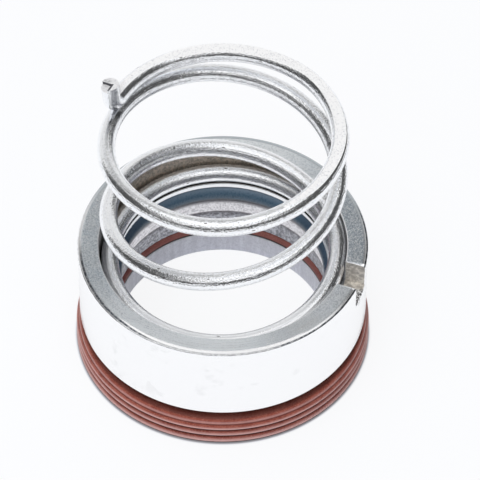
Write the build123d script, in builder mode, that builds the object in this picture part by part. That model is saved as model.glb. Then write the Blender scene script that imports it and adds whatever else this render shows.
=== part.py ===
from build123d import *
from math import atan2, cos, degrees, radians, sin
import os

# A single-spring mechanical face seal for a rotating shaft, standing as a loose pair: the rubber-mounted
# seat lies below with its rubber back up, and the rotary head with its drive spring stands on it.
# Millimetres, +Z along the shaft, origin on the axis in the plane of the seat's lapped face.

# ---------------------------------------------------------------- driving dimensions

# Shaft
shaft_d = 40.0
shaft_clearance = 1.0            # radial, from the shaft to the seat ring's bore

# Seat ring
seat_wall_t = 5.5
seat_h = 5.55
seat_edge = 0.4                  # chamfer under the rubber lip, and on the outer edges

# Rubber seat cup
cup_wall_t = 2.35
cup_back_t = 1.25
cup_corner_r = 1.3
cup_lip_r = 0.9
cup_recess = 0.25                # the rubber stops short of the lapped face
rib_count = 3
rib_h = 0.55
rib_ramp = 1.2                   # height of a rib's long upper flank
rib_undercut = 0.45              # height of its short lower flank
rib_spacing = 1.75
rib_first_z = 0.8                # height of the lowest crest

# Rotary face ring
face_wall_t = 4.2
face_h = 5.1
face_step = 1.0                  # radial, from the seat's bore out to the face ring's bore
face_stand_out = 1.54            # how far it stands out below the retainer
face_edge = 0.3

# Retainer
retainer_wall_t = 3.8
retainer_edge = 0.5
rim_edge = 0.3                   # chamfer round the mouth of the spring well
lip_t = 3.45                     # inner lip between the face ring and the O-ring
lip_step = 0.05                  # radial, the lip's bore over the seat's bore
spring_well_h = 7.23             # from the groove's shoulder up to the retainer's rim

# Shaft O-ring and thrust washer
cord_d = 4.2
cord_side = 0.05                 # radial, from the cord to the wall of its groove
cord_proud = 0.15                # how far the cord stands out of its groove
washer_t = 1.2
washer_bore_step = 0.8           # radial, from the shaft to the washer's bore
washer_side = 0.3                # radial, from the washer to the wall round it
washer_edge = 0.15

# Drive slot in the retainer's rim
slot_w = 5.8
slot_depth = 5.5
slot_azimuth = -18.0

# Drive spring, wound right-handed
wire_d = 3.5
coil_step = 2.35                 # radial, from the shaft to the wire's centre
coil_side = 0.6                  # radial, from the coils to the wall round them
spring_h = 37.75                 # free, over the ground ends
top_grind = 0.65                 # taken off the top of the upper coil
bottom_grind = 0.3               # taken off the bottom of the lower coil
top_level_angle = 145.0          # degrees of turn, level, from the tang's bend
pitch_in_angle = 430.0           # the pitch grows evenly to its full value
pitch_hold_angle = 165.0         # the pitch holds
pitch_out_angle = 298.0          # the pitch falls evenly to nothing
bottom_level_angle = 169.0       # level again, to the wire's cut end
tang_azimuth = 158.5
tang_h = 5.1                     # from the upper coil's centre to the end of the tang
tang_bend_r = 2.6
tang_lean = 9.0                  # degrees, outwards
coil_steps = 40                  # points that carry the coil's centre line

# ---------------------------------------------------------------- places that follow from them

seat_bore_r = shaft_d / 2 + shaft_clearance
seat_r = seat_bore_r + seat_wall_t
cup_r = seat_r + cup_wall_t
cup_top_z = seat_h + cup_back_t

face_bore_r = seat_bore_r + face_step
face_r = face_bore_r + face_wall_t
face_top_z = cup_top_z + face_h
retainer_z = cup_top_z + face_stand_out

lip_bore_r = seat_bore_r + lip_step
lip_top_z = face_top_z + lip_t
cord_centre_r = shaft_d / 2 + cord_d / 2
groove_r = shaft_d / 2 + cord_d + cord_side
cord_centre_z = lip_top_z + cord_d / 2
cord_top_z = lip_top_z + cord_d
shoulder_z = cord_top_z - cord_proud
washer_bore_r = shaft_d / 2 + washer_bore_step

coil_r = shaft_d / 2 + coil_step
well_r = coil_r + wire_d / 2 + coil_side
washer_r = well_r - washer_side
retainer_r = well_r + retainer_wall_t
rim_z = shoulder_z + spring_well_h

spring_z = cord_top_z + washer_t
spring_top_z = spring_z + spring_h
upper_coil_z = spring_top_z + top_grind - wire_d / 2
lower_coil_z = spring_z - bottom_grind + wire_d / 2
coil_angle = top_level_angle + pitch_in_angle + pitch_hold_angle + pitch_out_angle + bottom_level_angle
coil_azimuth = tang_azimuth - degrees(atan2(tang_bend_r, coil_r))

os.makedirs("parts", exist_ok=True)

# ---------------------------------------------------------------- seat ring

with BuildPart() as seat_ring:
    with BuildSketch(Plane.XZ) as seat_section:
        with BuildLine():
            Polyline(
                (seat_bore_r, 0),
                (seat_r, 0),
                (seat_r, seat_h),
                (seat_bore_r, seat_h),
                close=True,
            )
        make_face()
        chamfer(seat_section.vertices().group_by(Axis.Z)[-1], seat_edge)
    revolve(axis=Axis.Z)
seat_ring.part.label = "seat_ring"
export_step(seat_ring.part, "parts/seat_ring.step")

# ---------------------------------------------------------------- rubber seat cup

# The back, the wall and the inner lip are one moulding. The ribs are saw teeth whose long flanks face the
# back, so that the seat slides into its housing back first.
with BuildPart() as seat_cup:
    with BuildSketch(Plane.XZ) as cup_section:
        with BuildLine():
            Polyline(
                (seat_r, cup_recess),
                (cup_r, cup_recess),
                (cup_r, cup_top_z),
                (seat_bore_r, cup_top_z),
                (seat_bore_r, seat_h),
                (seat_r, seat_h),
                close=True,
            )
        make_face()
        fillet(cup_section.vertices().group_by(Axis.Z)[-1].sort_by(Axis.X)[-1], cup_corner_r)
        fillet(cup_section.vertices().group_by(Axis.Z)[-1].sort_by(Axis.X)[0], cup_lip_r)
        for rib in range(rib_count):
            crest_z = rib_first_z + rib * rib_spacing
            with BuildLine():
                Polyline(
                    (cup_r, crest_z - rib_undercut),
                    (cup_r + rib_h, crest_z),
                    (cup_r, crest_z + rib_ramp),
                    close=True,
                )
            make_face()
    revolve(axis=Axis.Z)
seat_cup.part.label = "seat_cup"
export_step(seat_cup.part, "parts/seat_cup.step")

# ---------------------------------------------------------------- rotary face ring

with BuildPart() as face_ring:
    with BuildSketch(Plane.XZ) as face_section:
        with BuildLine():
            Polyline(
                (face_bore_r, cup_top_z),
                (face_r, cup_top_z),
                (face_r, face_top_z),
                (face_bore_r, face_top_z),
                close=True,
            )
        make_face()
        chamfer(face_section.vertices(), face_edge)
    revolve(axis=Axis.Z)
face_ring.part.label = "face_ring"
export_step(face_ring.part, "parts/face_ring.step")

# ---------------------------------------------------------------- retainer

# One turned ring: a pocket below for the face ring, a lip, a groove for the O-ring, and a well for the
# thrust washer and the spring's lower coils. The slot in the rim takes the drive.
with BuildPart() as retainer:
    with BuildSketch(Plane.XZ) as retainer_section:
        with BuildLine():
            Polyline(
                (face_r, retainer_z),
                (retainer_r, retainer_z),
                (retainer_r, rim_z),
                (well_r, rim_z),
                (well_r, shoulder_z),
                (groove_r, shoulder_z),
                (groove_r, lip_top_z),
                (lip_bore_r, lip_top_z),
                (lip_bore_r, face_top_z),
                (face_r, face_top_z),
                close=True,
            )
        make_face()
        chamfer(retainer_section.vertices().group_by(Axis.X)[-1], retainer_edge)
        chamfer(retainer_section.vertices().group_by(Axis.Z)[-1].sort_by(Axis.X)[0], rim_edge)
    revolve(axis=Axis.Z)
    with BuildSketch(Plane.XY.offset(rim_z)):
        with Locations(Location((0, 0), slot_azimuth)):
            Rectangle(retainer_r + slot_w, slot_w, align=(Align.MIN, Align.CENTER))
    extrude(amount=-slot_depth, mode=Mode.SUBTRACT)
retainer.part.label = "retainer"
export_step(retainer.part, "parts/retainer.step")

# ---------------------------------------------------------------- shaft O-ring

with BuildPart() as shaft_o_ring:
    with BuildSketch(Plane.XZ):
        with Locations((cord_centre_r, cord_centre_z)):
            Circle(cord_d / 2)
    revolve(axis=Axis.Z)
shaft_o_ring.part.label = "shaft_o_ring"
export_step(shaft_o_ring.part, "parts/shaft_o_ring.step")

# ---------------------------------------------------------------- thrust washer

with BuildPart() as thrust_washer:
    with BuildSketch(Plane.XY.offset(cord_top_z)):
        Circle(washer_r)
        Circle(washer_bore_r, mode=Mode.SUBTRACT)
    extrude(amount=washer_t)
    chamfer(thrust_washer.edges().filter_by(GeomType.CIRCLE), washer_edge)
thrust_washer.part.label = "thrust_washer"
export_step(thrust_washer.part, "parts/thrust_washer.step")

# ---------------------------------------------------------------- drive spring


def coil_fall(turned):
    """Share of the coil's whole fall after this many degrees: the pitch grows, holds and dies away."""
    growing = min(max(turned - top_level_angle, 0), pitch_in_angle)
    holding = min(max(turned - top_level_angle - pitch_in_angle, 0), pitch_hold_angle)
    dying = min(max(turned - top_level_angle - pitch_in_angle - pitch_hold_angle, 0), pitch_out_angle)
    fallen = growing**2 / (2 * pitch_in_angle) + holding + dying - dying**2 / (2 * pitch_out_angle)
    return fallen / (pitch_in_angle / 2 + pitch_hold_angle + pitch_out_angle / 2)


def coil_point(turned):
    """Centre of the wire this many degrees down the coil, clockwise seen from above."""
    azimuth = radians(coil_azimuth - turned)
    height = upper_coil_z - (upper_coil_z - lower_coil_z) * coil_fall(turned)
    return Vector(coil_r * cos(azimuth), coil_r * sin(azimuth), height)


def coil_heading(turned):
    """Level direction of the wire there, down the coil."""
    azimuth = radians(coil_azimuth - turned)
    return Vector(sin(azimuth), -cos(azimuth), 0)


# The ends are ground flat before the tang is bent up, so the coil is cut level first.
with BuildPart() as spring:
    with BuildLine() as coil_line:
        Spline(
            [coil_point(coil_angle * step / coil_steps) for step in range(coil_steps + 1)],
            tangents=(coil_heading(0), coil_heading(coil_angle)),
            tangent_scalars=(1, 1),
        )
    with BuildSketch(Plane(origin=coil_point(0), z_dir=coil_heading(0))):
        Circle(wire_d / 2)
    sweep(path=coil_line.wire())
    split(bisect_by=Plane.XY.offset(spring_top_z), keep=Keep.BOTTOM)
    split(bisect_by=Plane.XY.offset(spring_z), keep=Keep.TOP)
    outwards = (coil_point(0) - Vector(0, 0, upper_coil_z)).normalized()
    upwards = Vector(0, 0, cos(radians(tang_lean))) + outwards * sin(radians(tang_lean))
    bend_end = coil_point(0) + (upwards - coil_heading(0)) * tang_bend_r
    tang_end = coil_point(0) - coil_heading(0) * tang_bend_r + upwards * (tang_h / cos(radians(tang_lean)))
    with BuildLine() as tang_line:
        TangentArc(coil_point(0), bend_end, tangent=-coil_heading(0))
        Line(bend_end, tang_end)
    with BuildSketch(Plane(origin=coil_point(0), z_dir=-coil_heading(0))):
        Circle(wire_d / 2)
    sweep(path=tang_line.wire())
spring.part.label = "spring"
export_step(spring.part, "parts/spring.step")
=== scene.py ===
# %% [markdown]
# # A mechanical shaft seal, dressed for its portrait
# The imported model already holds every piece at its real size. This notebook models the pieces again,
# more finely, with their broken edges, ground ends and moulded ribs, and gives each one its finish. It
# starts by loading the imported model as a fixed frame, which every new piece then rides on.

# %% Load the frame
import bmesh
import bpy
from itertools import combinations
from math import atan2, cos, degrees, pi, radians, sin
from mathutils import Matrix, Vector


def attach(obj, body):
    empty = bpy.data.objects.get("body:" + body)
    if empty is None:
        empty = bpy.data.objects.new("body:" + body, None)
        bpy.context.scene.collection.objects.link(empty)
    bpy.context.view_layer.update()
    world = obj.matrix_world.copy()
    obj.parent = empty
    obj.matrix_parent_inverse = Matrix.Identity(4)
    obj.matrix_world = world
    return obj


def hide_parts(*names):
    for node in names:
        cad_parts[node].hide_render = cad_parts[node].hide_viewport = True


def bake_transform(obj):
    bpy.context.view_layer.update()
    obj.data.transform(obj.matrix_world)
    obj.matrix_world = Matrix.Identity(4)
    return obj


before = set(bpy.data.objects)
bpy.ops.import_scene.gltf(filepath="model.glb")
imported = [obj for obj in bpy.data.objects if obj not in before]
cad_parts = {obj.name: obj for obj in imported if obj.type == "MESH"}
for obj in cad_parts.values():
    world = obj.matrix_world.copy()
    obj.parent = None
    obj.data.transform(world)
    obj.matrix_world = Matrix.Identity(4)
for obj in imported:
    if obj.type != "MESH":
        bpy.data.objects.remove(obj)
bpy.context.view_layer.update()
MM = 0.001

# %% [markdown]
# ## The camera
# A long lens from well above the horizon: the circles of the seal read as ellipses three quarters as
# high as they are wide. The aim point and the distance are real lengths in the seal's own frame.

# %% Camera
AIM = Vector((3.361, 13.535, 11.719)) * MM
DISTANCE = 770 * MM
ELEVATION, ROLL = 49.09, 0.408
LENS, SENSOR = 285.98, 36.0
FARTHEST = 20.0

camera = bpy.data.objects.new("camera", bpy.data.cameras.new("camera"))
bpy.context.scene.collection.objects.link(camera)
tilt = Matrix.Rotation(radians(90 - ELEVATION), 4, "X") @ Matrix.Rotation(radians(ROLL), 4, "Z")
camera.matrix_world = Matrix.Translation(AIM) @ tilt @ Matrix.Translation((0, 0, DISTANCE))
camera.data.lens = LENS
camera.data.sensor_width = SENSOR
camera.data.clip_end = FARTHEST
bpy.context.scene.camera = camera
bpy.context.scene.view_settings.view_transform = "Standard"
print("camera at", [round(value, 3) for value in camera.matrix_world.translation])

# %% [markdown]
# ## Building with nodes
# Every finish here is a chain of nodes. These helpers keep the chains readable: the first ones make a
# node and fill its inputs, the others name the small sums that the finishes share. An input takes
# either a value or another node's output. All of them work in the node tree that is called tree at the
# time, and each new finish puts its own tree there. Most of the chains make masks, which are numbers
# from 0 to 1 that say where a colour or a mark belongs.

# %% Node helpers
def feed(socket, value):
    """Fills one input with a number, with a colour, or with another node's output."""
    if isinstance(value, bpy.types.NodeSocket):
        tree.links.new(value, socket)
    else:
        socket.default_value = (*value[:3], 1.0) if socket.type == "RGBA" else value


def add_node(kind, **inputs):
    """A node of that kind; inputs are given by socket name, or by number as in_0."""
    node = tree.nodes.new("ShaderNode" + kind)
    for key, value in inputs.items():
        socket = int(key[3:]) if key.startswith("in_") else key.replace("_", " ")
        feed(node.inputs[socket], value)
    return node


def split(vector):
    """A vector's parts, by the names X, Y and Z."""
    return add_node("SeparateXYZ", Vector=vector).outputs


def calc(operation, first, second=0.0, third=0.0):
    """One sum, as a Math node's output."""
    node = add_node("Math", in_0=first, in_1=second, in_2=third)
    node.operation = operation
    return node.outputs[0]


def vector_calc(operation, first, second=(0.0, 0.0, 0.0)):
    """One sum of vectors; a length or a dot product comes out as a number."""
    node = add_node("VectorMath", in_0=first, in_1=second)
    node.operation = operation
    return node.outputs["Value" if operation in ("LENGTH", "DOT_PRODUCT") else "Vector"]


# %% Masks
def ease(value, low, high, start=0.0, end=1.0):
    """value eased from start at low to end at high, and held beyond them."""
    node = add_node("MapRange", Value=value, From_Min=low, From_Max=high, To_Min=start, To_Max=end)
    node.interpolation_type = "SMOOTHSTEP"
    return node.outputs["Result"]


def product(first, *others):
    """Masks multiplied together: what is left is where all of them are."""
    for mask in others:
        first = calc("MULTIPLY", first, mask)
    return first


def either(first, *others):
    """The greatest of some masks: where any of them is."""
    for mask in others:
        first = calc("MAXIMUM", first, mask)
    return first


def outside(mask):
    """A mask turned round: 1 where it was 0."""
    return calc("SUBTRACT", 1.0, mask)


def band(value, low, high, soft):
    """1 between low and high and 0 outside, with edges this soft."""
    rising = ease(value, low - soft, low + soft)
    return product(rising, ease(value, high - soft, high + soft, 1.0, 0.0))


# %% Colours
def grey(value):
    """A neutral colour."""
    return (value, value, value)


def mix(share, first, second, kind="MIX"):
    """The first colour turning into the second as share goes from 0 to 1."""
    node = add_node("Mix")
    node.data_type, node.blend_type = "RGBA", kind
    for number, value in ((0, share), (6, first), (7, second)):
        feed(node.inputs[number], value)
    return node.outputs[2]


def layers(colour, *coats):
    """Coats laid over a colour one after another, each given as its mask and its own colour."""
    for mask, coat in coats:
        colour = mix(mask, colour, coat)
    return colour


# %% [markdown]
# ## The room
# Bright metal shows its surroundings more than itself, so the surroundings are designed first. A large
# soft panel hangs overhead, reaching further forward than back. Under it the walls are plain: light at
# the back, grey between the back wall and the panel, dark at both sides, and a dark-to-grey fall of
# shade in front, which gives round wire its dark line. Directions are enough to describe all this, so
# the room is painted on the world. Angles round the room start at the right and go by the back.

# %% Directions
def bearing(vector):
    """The level direction of a view, or of a place seen from the axis."""
    return vector_calc("NORMALIZE", vector_calc("MULTIPLY", vector, (1.0, 1.0, 0.0)))


def toward(level, angle, narrow, wide):
    """1 within narrow degrees of an angle round the axis, and 0 beyond wide degrees of it."""
    aim = (cos(radians(angle)), sin(radians(angle)), 0.0)
    cosine = vector_calc("DOT_PRODUCT", level, aim)
    return ease(cosine, cos(radians(wide)), cos(radians(narrow)))


world = bpy.data.worlds.new("studio")
bpy.context.scene.world = world
world.use_nodes = True
tree = world.node_tree
tree.nodes.clear()
looking = add_node("TexCoord").outputs["Generated"]
axes = split(looking)
level = bearing(looking)
height = calc("MULTIPLY", calc("ARCSINE", axes["Z"]), degrees(1))
print("directions:", len(tree.nodes), "nodes")

# %% Walls
SIDE_WALL, FRONT_LOW, FRONT_HIGH = 0.085, 0.06, 0.56
BACK_WALL, BACK_TOP = 0.80, 0.42
FRONT_RISE, BACK_RISE = (20, 46), (34, 44)

front_shade = ease(height, *FRONT_RISE, FRONT_LOW, FRONT_HIGH)
back_shade = ease(height, *BACK_RISE, BACK_WALL, BACK_TOP)
walls = layers(
    grey(SIDE_WALL),
    (toward(level, -102, 40, 80), front_shade), (toward(level, 104, 40, 50), back_shade),
)
print("front wall: dark up to", FRONT_RISE[0], "degrees, grey from", FRONT_RISE[1])

# %% Overhead panel and floor glow
PANEL_LEFT, PANEL_RIGHT, PANEL_BACK, PANEL_FRONT = -0.60, 0.57, -0.50, 0.90
PANEL_GLOW, FLOOR_GLOW = 1.10, 0.85
FLOOR_FROM, FLOOR_TO = -2, 0
LEAST_RISE = 0.02

rise_ahead = calc("MAXIMUM", axes["Z"], LEAST_RISE)
across_panel = calc("DIVIDE", axes["X"], rise_ahead)
along_panel = calc("DIVIDE", calc("MULTIPLY", axes["Y"], -1.0), rise_ahead)
panel = product(
    band(across_panel, PANEL_LEFT, PANEL_RIGHT, 0.05),
    band(along_panel, PANEL_BACK, PANEL_FRONT, 0.06),
)
above = mix(panel, walls, grey(PANEL_GLOW))
room = mix(ease(height, FLOOR_FROM, FLOOR_TO), grey(FLOOR_GLOW), above)
seen = mix(add_node("LightPath").outputs["Is Camera Ray"], room, grey(1.0))
background = add_node("Background", Color=seen, Strength=1.0)
add_node("OutputWorld", Surface=background.outputs[0])
print("panel: from", round(degrees(atan2(1, PANEL_FRONT))), "degrees up at the front to",
      round(degrees(atan2(1, -PANEL_BACK))), "at the back")

# %% [markdown]
# The floor is one wide white sheet. To the camera and to the metal it is nearly as white as paper, and
# a small share of it still takes real light, so that the seal keeps its soft shadow. Right under the
# rubber's edge the share is larger, and the sheet's own colour is painted darker there: a painted contact
# shadow, which draws the thin dark line of contact.

# %% Floor
FLOOR_HALF = 1.5
PAPER_GLOW, CONTACT_GLOW = 0.88, 0.15
CONTACT_FROM, CONTACT_TO, CONTACT_SOFT = 28.0 * MM, 29.6 * MM, 0.3 * MM
PAPER, PAINTED_CONTACT_SHADOW = (0.80, 0.86, 1.0), (0.30, 0.28, 0.33)

sheet = bmesh.new()
bmesh.ops.create_grid(sheet, x_segments=1, y_segments=1, size=FLOOR_HALF)
floor_mesh = bpy.data.meshes.new("floor")
sheet.to_mesh(floor_mesh)
sheet.free()
floor = bpy.data.objects.new("floor", floor_mesh)
bpy.context.scene.collection.objects.link(floor)

paper = bpy.data.materials.new("white_sheet")
paper.use_nodes = True
tree = paper.node_tree
tree.nodes.clear()
ray = add_node("LightPath").outputs
shown = either(ray["Is Camera Ray"], ray["Is Glossy Ray"], ray["Is Transmission Ray"])
from_middle = vector_calc("LENGTH", add_node("TexCoord").outputs["Object"])
contact = band(from_middle, CONTACT_FROM, CONTACT_TO, CONTACT_SOFT)
# painted contact shadow: the sheet's colour turns dark in the ring under the rubber's edge
matt = add_node("BsdfDiffuse", Color=mix(contact, PAPER, PAINTED_CONTACT_SHADOW))
glow = add_node("Emission", Color=grey(1.0), Strength=1.0)
glowing = calc("MULTIPLY_ADD", contact, CONTACT_GLOW - PAPER_GLOW, PAPER_GLOW)
both = add_node("MixShader", in_0=product(shown, glowing), in_1=matt.outputs[0], in_2=glow.outputs[0])
add_node("OutputMaterial", Surface=both.outputs[0])
floor.data.materials.append(paper)
print("floor:", 2 * FLOOR_HALF, "m wide")

# %% [markdown]
# Two soft lamps give the light a direction: a weak one overhead and a stronger one from in front, above
# the camera. Their discs are kept out of the reflections, because the room already supplies them.

# %% Softboxes
LAMPS = {"overhead": (8, -10, 2.2, 0.6), "front": (34, -12, 2.0, 0.6)}
LAMP_DISTANCE = 0.9

for name, (lean_forward, lean_left, power, size) in LAMPS.items():
    softbox = bpy.data.objects.new(name, bpy.data.lights.new(name, "AREA"))
    softbox.data.shape = "DISK"
    softbox.data.size = size
    softbox.data.energy = power
    softbox.visible_glossy = False
    bpy.context.scene.collection.objects.link(softbox)
    swing = Matrix.Rotation(radians(lean_left), 4, "Y") @ Matrix.Rotation(radians(lean_forward), 4, "X")
    softbox.matrix_world = swing @ Matrix.Translation((0, 0, LAMP_DISTANCE))
    print("softbox", name, "at", [round(value, 2) for value in softbox.matrix_world.translation], power, "W")

# %% [markdown]
# ## Turned pieces
# Six of the seven pieces are lathe work or mouldings that are round all the way: one profile turned
# about the shaft's axis. The profile is a flat face, whose corners are rounded first with a vertex
# bevel. Then only its outline is kept and spun through a full turn, with the last step merged onto the
# first. Rounding before spinning costs one small face instead of hundreds of ring edges.

# %% A turned ring
TURN_STEPS = 240
MERGE = 1e-7
ROUND_SEGMENTS, BROAD_ROUND = 4, 1.0


def spun(outline, steps):
    """Spins an outline once round the axis and closes the ring."""
    bmesh.ops.spin(
        outline, geom=outline.verts[:] + outline.edges[:], cent=(0, 0, 0), axis=(0, 0, 1), angle=2 * pi,
        steps=steps, use_merge=True,
    )
    bmesh.ops.remove_doubles(outline, verts=outline.verts[:], dist=MERGE)
    bmesh.ops.recalc_face_normals(outline, faces=outline.faces[:])
    return outline


def turned(corners, rounds, steps=TURN_STEPS, start=0.0):
    """A ring from (radius, height) corners in mm; rounds gives the rounding of some corners, by number."""
    ring = bmesh.new()
    outline = [ring.verts.new((radius * MM, 0, height * MM)) for radius, height in corners]
    ring.faces.new(outline)
    for number, size in rounds.items():
        bmesh.ops.bevel(
            ring, geom=[outline[number]], offset=size * MM, offset_type="OFFSET", affect="VERTICES",
            segments=ROUND_SEGMENTS * (1 if size < BROAD_ROUND else 3), profile=0.5, material=-1,
        )
    bmesh.ops.delete(ring, geom=ring.faces[:], context="FACES_ONLY")
    bmesh.ops.rotate(ring, verts=ring.verts[:], cent=(0, 0, 0), matrix=Matrix.Rotation(start, 3, "Z"))
    return spun(ring, steps)


# %% [markdown]
# Every mesh is handed over in the same way. Its faces are shaded smooth, and edges that turn more than
# a few degrees are marked sharp. Then it becomes an object that rides on a body of the frame and takes
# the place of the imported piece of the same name.

# %% From mesh to piece
def finished(mesh, name, body, sharp=12.0):
    """Turns a bmesh into a piece that stands for the node of the same name and rides on its body."""
    for face in mesh.faces:
        face.smooth = True
    for edge in mesh.edges:
        if not edge.is_manifold or edge.calc_face_angle(0.0) > radians(sharp):
            edge.smooth = False
    data = bpy.data.meshes.new(name + "_fine")
    mesh.to_mesh(data)
    triangles = sum(len(face.verts) - 2 for face in mesh.faces)
    unclosed = sum(not edge.is_manifold for edge in mesh.edges)
    print(f"{name}: {triangles} triangles, {unclosed} open edges, {mesh.calc_volume() / MM**3:.0f} mm3")
    mesh.free()
    piece = bpy.data.objects.new(name + "_fine", data)
    bpy.context.scene.collection.objects.link(piece)
    if body:
        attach(piece, body)
    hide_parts(name)
    return piece


# %% [markdown]
# ## The seat ring
# The stationary half of the seal is a plain ring of hard, pale ceramic. Its lapped face lies on the
# sheet, so that face stays sharp, and the two edges under the rubber are chamfered.

# %% Seat ring shape
SEAT_BORE_R, SEAT_R, SEAT_H, SEAT_EDGE = 21.0, 26.5, 5.55, 0.4
LAPPED_EDGE = 0.08

seat_ring = finished(
    turned(
        [
            (SEAT_BORE_R, 0), (SEAT_R, 0), (SEAT_R, SEAT_H - SEAT_EDGE), (SEAT_R - SEAT_EDGE, SEAT_H),
            (SEAT_BORE_R + SEAT_EDGE, SEAT_H), (SEAT_BORE_R, SEAT_H - SEAT_EDGE),
        ],
        {0: LAPPED_EDGE, 1: LAPPED_EDGE},
    ),
    "seat_ring", "seat",
)

# %% [markdown]
# ## The rubber cup
# The seat sits in a moulded rubber cup. Its wall has three saw-toothed ribs that grip the housing, and
# its back turns in over the ceramic to a soft lip. A mould leaves every rubber edge a little round,
# crests most of all, and that roundness, with a painted highlight in the finish, makes the thin pale
# line on each rib. The lowest rib is blunt underneath, because the mould parts there.

# %% Rubber cup shape
CUP_R, CUP_FOOT, CUP_TOP = 28.85, 0.25, 6.8
RIB_H, RIB_RAMPS, RIB_UNDERCUT, RIB_SPACING, RIB_FIRST = 0.55, (1.2, 1.2, 0.9), 0.45, 1.75, 0.8
FOOT_OUT, FOOT_UP = 0.40, 0.30
FOOT_ROUND, CREST_ROUND, SHOULDER_ROUND, LIP_ROUND = 0.12, 0.13, 1.3, 0.9

cup_outline = [(SEAT_R, CUP_FOOT), (CUP_R + FOOT_OUT, CUP_FOOT)]
cup_rounds = {1: FOOT_ROUND}
for rib, ramp in enumerate(RIB_RAMPS):
    crest = RIB_FIRST + rib * RIB_SPACING
    under = (CUP_R, crest - RIB_UNDERCUT) if rib else (CUP_R + RIB_H, CUP_FOOT + FOOT_UP)
    cup_rounds[len(cup_outline) + 1] = CREST_ROUND
    cup_outline += [under, (CUP_R + RIB_H, crest), (CUP_R, crest + ramp)]
cup_rounds[len(cup_outline)] = SHOULDER_ROUND
cup_rounds[len(cup_outline) + 1] = LIP_ROUND
cup_outline += [(CUP_R, CUP_TOP), (SEAT_BORE_R, CUP_TOP), (SEAT_BORE_R, SEAT_H), (SEAT_R, SEAT_H)]
seat_cup = finished(turned(cup_outline, cup_rounds), "seat_cup", "seat", sharp=24)

# %% [markdown]
# ## The face ring
# The rotating half's sealing ring stands out of its steel holder just enough to touch the seat. It is
# a short hard tube with broken edges, and it clears the rubber below it by a hair, so that it can turn.

# %% Face ring shape
FACE_BORE_R, FACE_R, FACE_TOP, FACE_EDGE = 21.6, 26.2, 11.9, 0.3
FACE_Z = CUP_TOP + 0.01

face_ring = finished(
    turned(
        [
            (FACE_BORE_R + FACE_EDGE, FACE_Z), (FACE_R - FACE_EDGE, FACE_Z), (FACE_R, FACE_Z + FACE_EDGE),
            (FACE_R, FACE_TOP - FACE_EDGE), (FACE_R - FACE_EDGE, FACE_TOP), (FACE_BORE_R + FACE_EDGE, FACE_TOP),
            (FACE_BORE_R, FACE_TOP - FACE_EDGE), (FACE_BORE_R, FACE_Z + FACE_EDGE),
        ],
        {},
    ),
    "face_ring", "rotary_head",
)

# %% [markdown]
# ## The retainer
# One turned steel ring carries the rotating parts: a pocket below for the face ring, a lip, a groove
# for the O-ring, and a well for the washer and the spring. The outer edge of its rim is crowned: the
# lathe took it down a little towards the outside and left a small round where it meets the wall. The
# profile is spun as before. The number of steps is chosen so that no ring line runs through the walls
# of the slot, which is cut next.

# %% Retainer shape
RETAINER_R, WELL_R, GROOVE_R, LIP_R = 28.6, 24.5, 24.25, 21.05
RETAINER_Z, LIP_TOP, SHOULDER_Z, RIM_Z = 8.34, 15.35, 19.4, 26.63
OUTER_EDGE, RIM_EDGE = 0.5, 0.16
CROWN_WIDTH, CROWN_DROP, CROWN_ROUND = 0.98, 0.20, 0.20
BROKEN, POCKET_ROUND, LIP_EDGE = 0.05, 0.1, 0.12
SLOT_TURN = radians(-18)
RETAINER_STEPS = 200

retainer_mesh = turned(
    [
        (FACE_R, RETAINER_Z), (RETAINER_R - OUTER_EDGE, RETAINER_Z), (RETAINER_R, RETAINER_Z + OUTER_EDGE),
        (RETAINER_R, RIM_Z - CROWN_DROP), (RETAINER_R - CROWN_WIDTH, RIM_Z), (WELL_R + RIM_EDGE, RIM_Z),
        (WELL_R, RIM_Z - RIM_EDGE), (WELL_R, SHOULDER_Z), (GROOVE_R, SHOULDER_Z), (GROOVE_R, LIP_TOP),
        (LIP_R, LIP_TOP), (LIP_R, FACE_TOP), (FACE_R, FACE_TOP),
    ],
    {
        0: POCKET_ROUND, 1: BROKEN, 2: BROKEN, 3: CROWN_ROUND, 4: BROKEN, 5: BROKEN, 6: BROKEN,
        10: LIP_EDGE, 11: LIP_EDGE,
    },
    steps=RETAINER_STEPS, start=SLOT_TURN,
)
print("retainer before milling:", len(retainer_mesh.faces), "faces")

# %% [markdown]
# ## The drive slot
# A milling cutter takes the slot straight through the rim. Bisecting planes, one for each wall and one
# for the floor, divide the ring's faces where the cutter would run. The faces between them are deleted,
# and the two walls and the floor are closed with new faces.

# %% Places round the slot
SLOT_W, SLOT_FLOOR = 5.8, 21.13
SLOT_ZONE, SLOT_SIDE = 6, 15
NEAR, CLEAR = 0.005, 0.01
outwards = Vector((cos(SLOT_TURN), sin(SLOT_TURN), 0))
across = Vector((-sin(SLOT_TURN), cos(SLOT_TURN), 0))
print("slot at", round(degrees(SLOT_TURN)), "degrees")


def middle_of(element):
    """The middle of a vertex, an edge or a face."""
    if isinstance(element, bmesh.types.BMVert):
        return element.co
    return sum((vert.co for vert in element.verts), Vector()) / len(element.verts)


def slot_place(element):
    """Where an element lies: across the slot, along it, and its height, in mm."""
    middle = middle_of(element)
    return middle.dot(across) / MM, middle.dot(outwards) / MM, middle.z / MM


def by_slot(element, half_width, lowest):
    """Whether an element lies on the slot's side of the ring, this near its middle and this high."""
    side, out, up = slot_place(element)
    return abs(side) < half_width and out > SLOT_SIDE and up > lowest


# %% Cutting and closing
def divide(mesh, faces, origin, normal):
    """Divides the faces where a plane crosses them."""
    edges = [edge for face in faces for edge in face.edges]
    verts = [vert for face in faces for vert in face.verts]
    everything = list(dict.fromkeys(faces + edges + verts))
    bmesh.ops.bisect_plane(mesh, geom=everything, dist=MERGE, plane_co=origin, plane_no=normal)


def open_edges(mesh):
    """The edges round a mesh's openings."""
    return [edge for edge in mesh.edges if edge.is_boundary]


def close(mesh, edges, finish=0):
    """Closes an opening with a face, which gets this one of the piece's finishes."""
    for face in bmesh.ops.contextual_create(mesh, geom=edges)["faces"]:
        face.material_index = finish


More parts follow.
